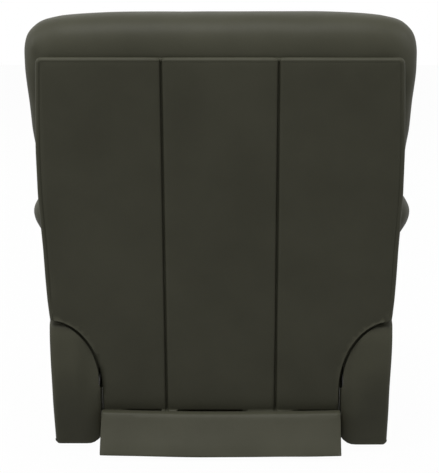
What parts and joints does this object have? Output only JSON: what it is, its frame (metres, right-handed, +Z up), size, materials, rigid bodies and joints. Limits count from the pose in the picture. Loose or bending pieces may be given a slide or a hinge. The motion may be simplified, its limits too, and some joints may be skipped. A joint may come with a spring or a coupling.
{
  "type": "power recliner",
  "caption": "Power recliner with padded arms, a tall leaning back with a head pillow, a footrest on scissor links, and buttons on the outside of one arm.",
  "frame": {"origin": "on the floor, under the middle of the chair's outline, upright with the footrest closed", "axes": "+Z up, +Y towards the chair's rear, +X towards the sitter's left"},
  "size_m": [0.9126, 0.98, 1.06],
  "materials": {
    "leather": "smooth, slight sheen",
    "upholstery": "coated fabric, smooth, slight sheen",
    "plywood": "bare",
    "hardwood": "bare",
    "black_steel": "black powder coat",
    "zinc": "zinc plated",
    "black_plastic": "matte",
    "button_plastic": "satin"
  },
  "bodies": {
    "base": {"arm_cover_left": "upholstery", "arm_cover_right": "upholstery", "arm_frame_left": "plywood", "arm_frame_right": "plywood", "arm_pad_left": "upholstery", "arm_pad_right": "upholstery", "back_drive_rail": "black_steel", "back_motor": "black_plastic", "back_screw": "zinc", "base_rail_left": "hardwood", "base_rail_right": "hardwood", "control_bezel": "black_plastic", "cross_angle_front": "black_steel", "cross_angle_middle": "black_steel", "cross_angle_rear": "black_steel", "cross_rail_front": "hardwood", "cross_rail_rear": "hardwood", "footrest_drive_rail": "black_steel", "footrest_motor": "black_plastic", "footrest_screw": "zinc", "glide_front_left": "black_plastic", "glide_front_right": "black_plastic", "glide_rear_left": "black_plastic", "glide_rear_right": "black_plastic", "power_inlet": "black_plastic", "rear_board": "hardwood", "rear_valance": "leather", "seat_cushion": "upholstery", "seat_deck": "plywood", "side_plate_left": "black_steel", "side_plate_right": "black_steel"},
    "backrest": {"outer_back_panel": "leather", "back_board": "plywood", "head_pillow": "upholstery", "lumbar_cushion": "upholstery", "back_bracket_left": "black_steel", "back_bracket_right": "black_steel", "back_drive_lug": "black_steel"},
    "lift_links": {"lift_link_left": "black_steel", "lift_link_right": "black_steel", "drive_shaft": "black_steel"},
    "slide_links": {"slide_link_left": "black_steel", "slide_link_right": "black_steel"},
    "foot_links": {"foot_link_left": "black_steel", "foot_link_right": "black_steel"},
    "carry_links": {"carry_link_left": "black_steel", "carry_link_right": "black_steel"},
    "tilt_links": {"tilt_link_left": "black_steel", "tilt_link_right": "black_steel"},
    "footrest": {"footrest_frame": "black_steel", "footrest_board": "plywood", "footrest_pad": "upholstery"},
    "footrest_drive": {"footrest_slider": "zinc"},
    "back_drive": {"back_slider": "zinc"},
    "button_1": {"button_1": "button_plastic"},
    "button_2": {"button_2": "button_plastic"},
    "button_3": {"button_3": "button_plastic"},
    "button_4": {"button_4": "button_plastic"}
  },
  "joints": [
    {"name": "footrest_lift", "type": "hinge", "parent": "base", "child": "lift_links", "pos_m": [0, -0.3, 0.325], "axis": [-1, 0, 0], "range_deg": [0, 62]},
    {"name": "slide_link_turn", "type": "hinge", "parent": "lift_links", "child": "slide_links", "pos_m": [0, -0.32699, 0.20808], "axis": [-1, 0, 0], "range_deg": [-124, 0]},
    {"name": "foot_link_turn", "type": "hinge", "parent": "lift_links", "child": "foot_links", "pos_m": [0, -0.35399, 0.09115], "axis": [-1, 0, 0], "range_deg": [-124, 0]},
    {"name": "carry_link_turn", "type": "hinge", "parent": "slide_links", "child": "carry_links", "pos_m": [0, -0.33327, 0.32791], "axis": [-1, 0, 0], "range_deg": [0, 124]},
    {"name": "footrest_turn", "type": "hinge", "parent": "foot_links", "child": "footrest", "pos_m": [0, -0.36655, 0.33082], "axis": [-1, 0, 0], "range_deg": [0, 152]},
    {"name": "tilt_link_turn", "type": "hinge", "parent": "carry_links", "child": "tilt_links", "pos_m": [0, -0.36679, 0.18273], "axis": [-1, 0, 0], "range_deg": [-122.86, 0]},
    {"name": "footrest_slider_travel", "type": "slide", "parent": "base", "child": "footrest_drive", "axis": [0, -1, 0], "range_m": [0, 0.12361]},
    {"name": "back_recline", "type": "hinge", "parent": "base", "child": "backrest", "pos_m": [0, 0.268, 0.2], "axis": [-1, 0, 0], "range_deg": [0, 40]},
    {"name": "back_slider_travel", "type": "slide", "parent": "base", "child": "back_drive", "axis": [0, 1, 0], "range_m": [0, 0.04789]},
    {"name": "button_1_press", "type": "slide", "parent": "base", "child": "button_1", "axis": [1, 0, 0], "range_m": [0, 0.0015], "stiffness_N_per_m": 400, "springref_m": -0.002},
    {"name": "button_2_press", "type": "slide", "parent": "base", "child": "button_2", "axis": [1, 0, 0], "range_m": [0, 0.0015], "stiffness_N_per_m": 400, "springref_m": -0.002},
    {"name": "button_3_press", "type": "slide", "parent": "base", "child": "button_3", "axis": [1, 0, 0], "range_m": [0, 0.0015], "stiffness_N_per_m": 400, "springref_m": -0.002},
    {"name": "button_4_press", "type": "slide", "parent": "base", "child": "button_4", "axis": [1, 0, 0], "range_m": [0, 0.0015], "stiffness_N_per_m": 400, "springref_m": -0.002}
  ],
  "couplings": [
    {"joint": "slide_link_turn", "follows": "footrest_lift", "ratio": -2},
    {"joint": "foot_link_turn", "follows": "footrest_lift", "ratio": -2},
    {"joint": "carry_link_turn", "follows": "footrest_lift", "ratio": 2},
    {"joint": "footrest_turn", "follows": "footrest_lift", "ratio": 2.4516},
    {"joint": "tilt_link_turn", "follows": "footrest_lift", "ratio": -1.9816},
    {"joint": "footrest_slider_travel", "follows": "footrest_lift", "m_per_rad": 0.11423},
    {"joint": "back_slider_travel", "follows": "back_recline", "m_per_rad": 0.068587}
  ]
}
